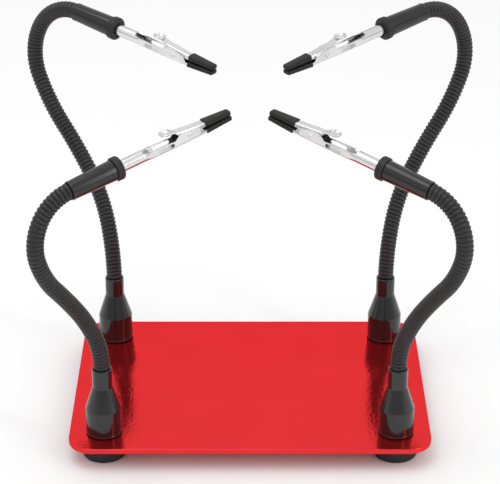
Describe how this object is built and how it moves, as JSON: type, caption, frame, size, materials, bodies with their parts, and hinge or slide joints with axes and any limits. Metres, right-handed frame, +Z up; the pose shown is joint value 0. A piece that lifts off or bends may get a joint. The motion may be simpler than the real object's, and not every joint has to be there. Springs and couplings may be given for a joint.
{
  "type": "helping hands clamp",
  "caption": "Bench holder for small work: a rubber-footed steel plate with bendable gooseneck arms, each ending in a swivelling sprung clip with rubber-sleeved jaws.",
  "frame": {"origin": "on the table under the middle of the whole object seen from above; the plate's centre lies 2 mm nearer the user", "axes": "+Z up, +X to the right along the plate's long side, +Y away from the user"},
  "size_m": [0.2468, 0.1773, 0.2073],
  "materials": {
    "plate_red": "gloss",
    "foot_rubber": "satin",
    "zinc_steel": "satin",
    "socket_black": "gloss",
    "gooseneck_black": "satin",
    "sleeve_black": "gloss",
    "collar_black": "satin",
    "clip_steel": "gloss",
    "spring_steel": "satin",
    "tip_rubber": "satin"
  },
  "bodies": {
    "root": {"base_plate": "plate_red", "rubber_feet": "foot_rubber", "foot_washers": "zinc_steel", "base_bolts": "zinc_steel"},
    "front_left_socket": {"front_left_socket": "socket_black", "front_left_gooseneck_1": "gooseneck_black"},
    "front_left_neck_2": {"front_left_gooseneck_2": "gooseneck_black"},
    "front_left_neck_3": {"front_left_gooseneck_3": "gooseneck_black"},
    "front_left_neck_end": {"front_left_gooseneck_4": "gooseneck_black", "front_left_end_sleeve": "sleeve_black"},
    "front_left_clip": {"front_left_swivel_collar": "collar_black", "front_left_clip_stud": "clip_steel", "front_left_clip_lower_jaw": "clip_steel", "front_left_clip_pin": "clip_steel", "front_left_clip_spring": "spring_steel", "front_left_lower_tip_sleeve": "tip_rubber"},
    "front_left_thumb_jaw": {"front_left_clip_upper_jaw": "clip_steel", "front_left_upper_tip_sleeve": "tip_rubber"},
    "front_right_socket": {"front_right_socket": "socket_black", "front_right_gooseneck_1": "gooseneck_black"},
    "front_right_neck_2": {"front_right_gooseneck_2": "gooseneck_black"},
    "front_right_neck_3": {"front_right_gooseneck_3": "gooseneck_black"},
    "front_right_neck_end": {"front_right_gooseneck_4": "gooseneck_black", "front_right_end_sleeve": "sleeve_black"},
    "front_right_clip": {"front_right_swivel_collar": "collar_black", "front_right_clip_stud": "clip_steel", "front_right_clip_lower_jaw": "clip_steel", "front_right_clip_pin": "clip_steel", "front_right_clip_spring": "spring_steel", "front_right_lower_tip_sleeve": "tip_rubber"},
    "front_right_thumb_jaw": {"front_right_clip_upper_jaw": "clip_steel", "front_right_upper_tip_sleeve": "tip_rubber"},
    "rear_left_socket": {"rear_left_socket": "socket_black", "rear_left_gooseneck_1": "gooseneck_black"},
    "rear_left_neck_2": {"rear_left_gooseneck_2": "gooseneck_black"},
    "rear_left_neck_3": {"rear_left_gooseneck_3": "gooseneck_black"},
    "rear_left_neck_end": {"rear_left_gooseneck_4": "gooseneck_black", "rear_left_end_sleeve": "sleeve_black"},
    "rear_left_clip": {"rear_left_swivel_collar": "collar_black", "rear_left_clip_stud": "clip_steel", "rear_left_clip_lower_jaw": "clip_steel", "rear_left_clip_pin": "clip_steel", "rear_left_clip_spring": "spring_steel", "rear_left_lower_tip_sleeve": "tip_rubber"},
    "rear_left_thumb_jaw": {"rear_left_clip_upper_jaw": "clip_steel", "rear_left_upper_tip_sleeve": "tip_rubber"},
    "rear_right_socket": {"rear_right_socket": "socket_black", "rear_right_gooseneck_1": "gooseneck_black"},
    "rear_right_neck_2": {"rear_right_gooseneck_2": "gooseneck_black"},
    "rear_right_neck_3": {"rear_right_gooseneck_3": "gooseneck_black"},
    "rear_right_neck_end": {"rear_right_gooseneck_4": "gooseneck_black", "rear_right_end_sleeve": "sleeve_black"},
    "rear_right_clip": {"rear_right_swivel_collar": "collar_black", "rear_right_clip_stud": "clip_steel", "rear_right_clip_lower_jaw": "clip_steel", "rear_right_clip_pin": "clip_steel", "rear_right_clip_spring": "spring_steel", "rear_right_lower_tip_sleeve": "tip_rubber"},
    "rear_right_thumb_jaw": {"rear_right_clip_upper_jaw": "clip_steel", "rear_right_upper_tip_sleeve": "tip_rubber"}
  },
  "joints": [
    {"name": "front_left_socket_turn", "type": "hinge", "parent": "root", "child": "front_left_socket", "pos_m": [-0.0767, -0.054, 0.0131], "axis": [0, 0, 1], "range_deg": [-30, 30]},
    {"name": "front_left_bend_1", "type": "hinge", "parent": "front_left_socket", "child": "front_left_neck_2", "pos_m": [-0.08004, -0.05712, 0.07234], "axis": [0.8615, -0.4895, 0.135], "range_deg": [-5, 30]},
    {"name": "front_left_bend_2", "type": "hinge", "parent": "front_left_neck_2", "child": "front_left_neck_3", "pos_m": [-0.09647, -0.07556, 0.10783], "axis": [-0.7674, 0.6407, -0.0232], "range_deg": [-30, 10]},
    {"name": "front_left_bend_3", "type": "hinge", "parent": "front_left_neck_3", "child": "front_left_neck_end", "pos_m": [-0.10149, -0.08214, 0.14768], "axis": [-0.5273, 0.8468, -0.0706], "range_deg": [-30, 20]},
    {"name": "front_left_clip_swivel", "type": "hinge", "parent": "front_left_neck_end", "child": "front_left_clip", "pos_m": [-0.06353, -0.05696, 0.16635], "axis": [0.822, 0.5294, 0.2098], "continuous": true},
    {"name": "front_left_jaw", "type": "hinge", "parent": "front_left_clip", "child": "front_left_thumb_jaw", "pos_m": [-0.03117, -0.03611, 0.17523], "axis": [0.5414, -0.8407, 0], "range_deg": [0, 15], "stiffness_Nm_per_rad": 0.05, "springref_deg": -20.05},
    {"name": "front_right_socket_turn", "type": "hinge", "parent": "root", "child": "front_right_socket", "pos_m": [0.0767, -0.054, 0.0131], "axis": [0, 0, 1], "range_deg": [-30, 30]},
    {"name": "front_right_bend_1", "type": "hinge", "parent": "front_right_socket", "child": "front_right_neck_2", "pos_m": [0.08004, -0.05712, 0.07234], "axis": [0.8615, 0.4895, -0.135], "range_deg": [-5, 30]},
    {"name": "front_right_bend_2", "type": "hinge", "parent": "front_right_neck_2", "child": "front_right_neck_3", "pos_m": [0.09647, -0.07556, 0.10783], "axis": [-0.7674, -0.6407, 0.0232], "range_deg": [-30, 10]},
    {"name": "front_right_bend_3", "type": "hinge", "parent": "front_right_neck_3", "child": "front_right_neck_end", "pos_m": [0.10149, -0.08214, 0.14768], "axis": [-0.5273, -0.8468, 0.0706], "range_deg": [-30, 20]},
    {"name": "front_right_clip_swivel", "type": "hinge", "parent": "front_right_neck_end", "child": "front_right_clip", "pos_m": [0.06353, -0.05696, 0.16635], "axis": [-0.822, 0.5294, 0.2098], "continuous": true},
    {"name": "front_right_jaw", "type": "hinge", "parent": "front_right_clip", "child": "front_right_thumb_jaw", "pos_m": [0.03117, -0.03611, 0.17523], "axis": [0.5414, 0.8407, 0], "range_deg": [0, 15], "stiffness_Nm_per_rad": 0.05, "springref_deg": -20.05},
    {"name": "rear_left_socket_turn", "type": "hinge", "parent": "root", "child": "rear_left_socket", "pos_m": [-0.0767, 0.05, 0.0131], "axis": [0, 0, 1], "range_deg": [-30, 30]},
    {"name": "rear_left_bend_1", "type": "hinge", "parent": "rear_left_socket", "child": "rear_left_neck_2", "pos_m": [-0.07936, 0.05443, 0.08141], "axis": [-0.2958, -0.9277, 0.2277], "range_deg": [-5, 30]},
    {"name": "rear_left_bend_2", "type": "hinge", "parent": "rear_left_neck_2", "child": "rear_left_neck_3", "pos_m": [-0.10371, 0.07439, 0.13363], "axis": [0.4754, 0.8789, -0.0384], "range_deg": [-30, 10]},
    {"name": "rear_left_bend_3", "type": "hinge", "parent": "rear_left_neck_3", "child": "rear_left_neck_end", "pos_m": [-0.11513, 0.08249, 0.18957], "axis": [0.5791, 0.8117, -0.0757], "range_deg": [-30, 20]},
    {"name": "rear_left_clip_swivel", "type": "hinge", "parent": "rear_left_neck_end", "child": "rear_left_clip", "pos_m": [-0.07009, 0.05119, 0.19846], "axis": [0.8003, -0.5837, -0.1369], "continuous": true},
    {"name": "rear_left_jaw", "type": "hinge", "parent": "rear_left_clip", "child": "rear_left_thumb_jaw", "pos_m": [-0.03841, 0.02808, 0.19364], "axis": [-0.5893, -0.8079, 0], "range_deg": [0, 15], "stiffness_Nm_per_rad": 0.05, "springref_deg": -20.05},
    {"name": "rear_right_socket_turn", "type": "hinge", "parent": "root", "child": "rear_right_socket", "pos_m": [0.0767, 0.05, 0.0131], "axis": [0, 0, 1], "range_deg": [-30, 30]},
    {"name": "rear_right_bend_1", "type": "hinge", "parent": "rear_right_socket", "child": "rear_right_neck_2", "pos_m": [0.07936, 0.05443, 0.08141], "axis": [-0.2958, 0.9277, -0.2277], "range_deg": [-5, 30]},
    {"name": "rear_right_bend_2", "type": "hinge", "parent": "rear_right_neck_2", "child": "rear_right_neck_3", "pos_m": [0.10371, 0.07439, 0.13363], "axis": [0.4754, -0.8789, 0.0384], "range_deg": [-30, 10]},
    {"name": "rear_right_bend_3", "type": "hinge", "parent": "rear_right_neck_3", "child": "rear_right_neck_end", "pos_m": [0.11513, 0.08249, 0.18957], "axis": [0.5791, -0.8117, 0.0757], "range_deg": [-30, 20]},
    {"name": "rear_right_clip_swivel", "type": "hinge", "parent": "rear_right_neck_end", "child": "rear_right_clip", "pos_m": [0.07009, 0.05119, 0.19846], "axis": [-0.8003, -0.5837, -0.1369], "continuous": true},
    {"name": "rear_right_jaw", "type": "hinge", "parent": "rear_right_clip", "child": "rear_right_thumb_jaw", "pos_m": [0.03841, 0.02808, 0.19364], "axis": [-0.5893, 0.8079, 0], "range_deg": [0, 15], "stiffness_Nm_per_rad": 0.05, "springref_deg": -20.05}
  ]
}
